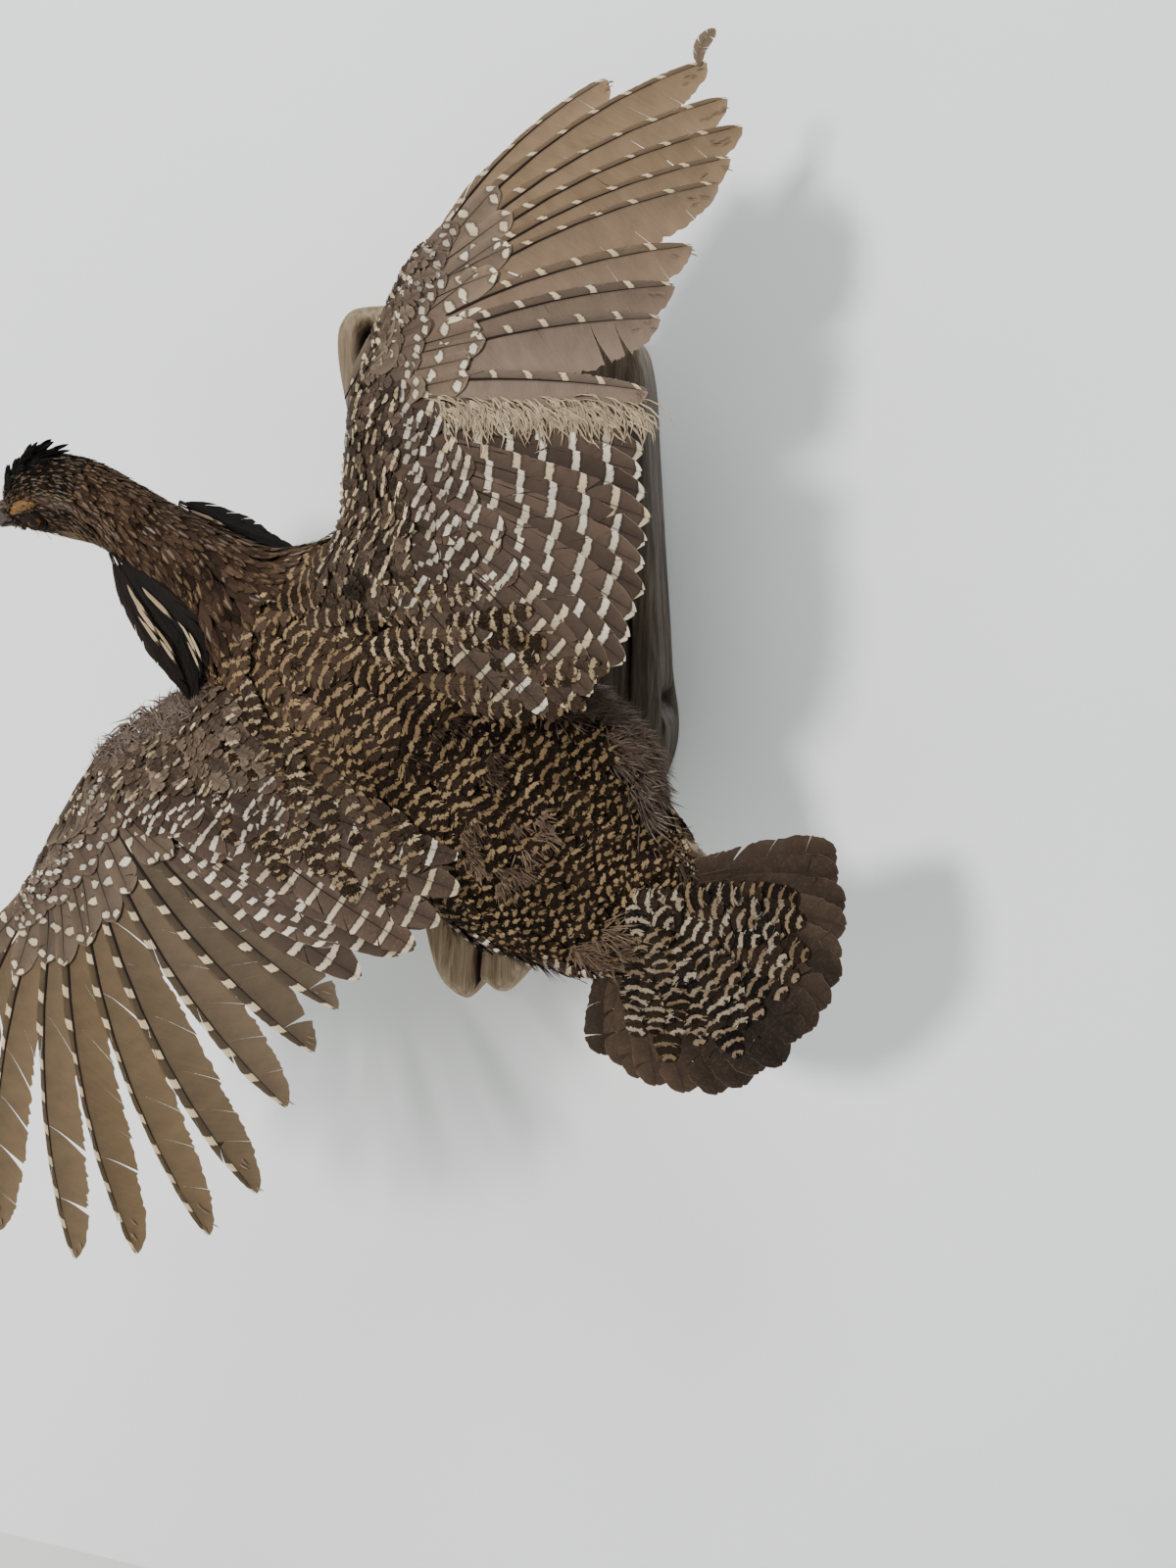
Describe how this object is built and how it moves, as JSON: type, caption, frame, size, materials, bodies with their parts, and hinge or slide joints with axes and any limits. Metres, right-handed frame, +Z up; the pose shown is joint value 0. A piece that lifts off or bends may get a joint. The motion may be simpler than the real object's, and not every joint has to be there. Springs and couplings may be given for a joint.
{
  "type": "taxidermy greater prairie chicken wall mount",
  "caption": "Life-size taxidermy prairie chicken in flight, wings and tail spread, back to the room, on a rod from a weathered driftwood slab that hangs flat on a wall.",
  "frame": {"origin": "on the driftwood slab's flat back, behind the middle of the bird's back, in the plane of the wall", "axes": "+X to the right along the wall, +Y into the wall, +Z up"},
  "size_m": [0.4119, 0.198, 0.506],
  "materials": {
    "driftwood": "weathered, dry and unvarnished",
    "steel": "dull",
    "body_plumage": "soft feathers barred dark brown and buff",
    "dark_plumage": "soft black feathers",
    "flight_feather": "smooth vanes with pale spots and bars",
    "tail_feather": "smooth dark vanes with thin pale tips",
    "horn": "satin horn",
    "eye": "polished glass eye",
    "comb": "dry bumpy skin, painted",
    "foot_skin": "dry scaly skin"
  },
  "bodies": {
    "root": {"driftwood_board": "driftwood", "mount_rod": "steel", "trunk": "body_plumage", "neck": "body_plumage", "head": "body_plumage", "bill_upper": "horn", "bill_lower": "horn", "eye_left": "eye", "eye_right": "eye", "comb_left": "comb", "comb_right": "comb", "crest": "dark_plumage", "pinna_left": "dark_plumage", "pinna_right": "dark_plumage", "wing_left_arm": "body_plumage", "wing_left_forearm": "flight_feather", "wing_left_hand": "flight_feather", "wing_right_arm": "body_plumage", "wing_right_forearm": "flight_feather", "wing_right_hand": "flight_feather", "tail": "tail_feather", "leg_left": "body_plumage", "leg_right": "body_plumage", "foot_left": "foot_skin", "foot_right": "foot_skin"}
  },
  "joints": []
}
